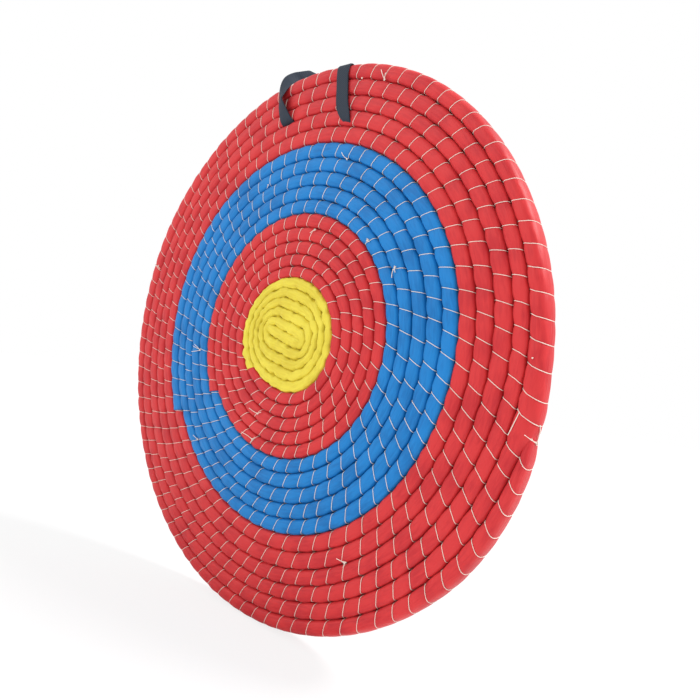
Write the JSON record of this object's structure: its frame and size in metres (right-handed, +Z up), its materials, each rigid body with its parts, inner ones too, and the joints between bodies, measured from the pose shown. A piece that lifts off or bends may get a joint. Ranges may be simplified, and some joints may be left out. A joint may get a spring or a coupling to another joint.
{
  "type": "archery target boss",
  "caption": "Round archery target boss of cloth-wrapped straw rope laid in a flat spiral and whip-stitched, with two webbing loops at the top to hang it by.",
  "frame": {"origin": "back face of the boss, on the straight start of the gold rope at the middle of the spiral", "axes": "+Z up, between the two hanging loops; -Y is the way the shooting face looks; +X to the right as the archer sees it"},
  "size_m": [0.4965, 0.0313, 0.5137],
  "materials": {
    "straw": "dry straw, rough",
    "gold_cloth": "matt non-woven cloth, wrapped tight",
    "red_cloth": "matt non-woven cloth, wrapped tight",
    "blue_cloth": "matt non-woven cloth, wrapped tight",
    "thread": "waxed cotton thread",
    "webbing": "woven webbing, slight sheen"
  },
  "bodies": {
    "boss": {"straw_core": "straw", "gold_wrap": "gold_cloth", "inner_red_wrap": "red_cloth", "blue_wrap": "blue_cloth", "outer_red_wrap": "red_cloth", "tie_off_knot": "thread"},
    "left_loop": {"strap_left": "webbing"},
    "right_loop": {"strap_right": "webbing"}
  },
  "joints": [
    {"name": "left_loop_swing", "type": "hinge", "parent": "boss", "child": "left_loop", "pos_m": [-0.03661, -0.01, 0.20146], "axis": [0.9845, 0, 0.1754], "range_deg": [0, 8]},
    {"name": "right_loop_swing", "type": "hinge", "parent": "boss", "child": "right_loop", "pos_m": [0.03862, -0.01, 0.1873], "axis": [0.9924, 0, -0.1233], "range_deg": [0, 8]}
  ]
}
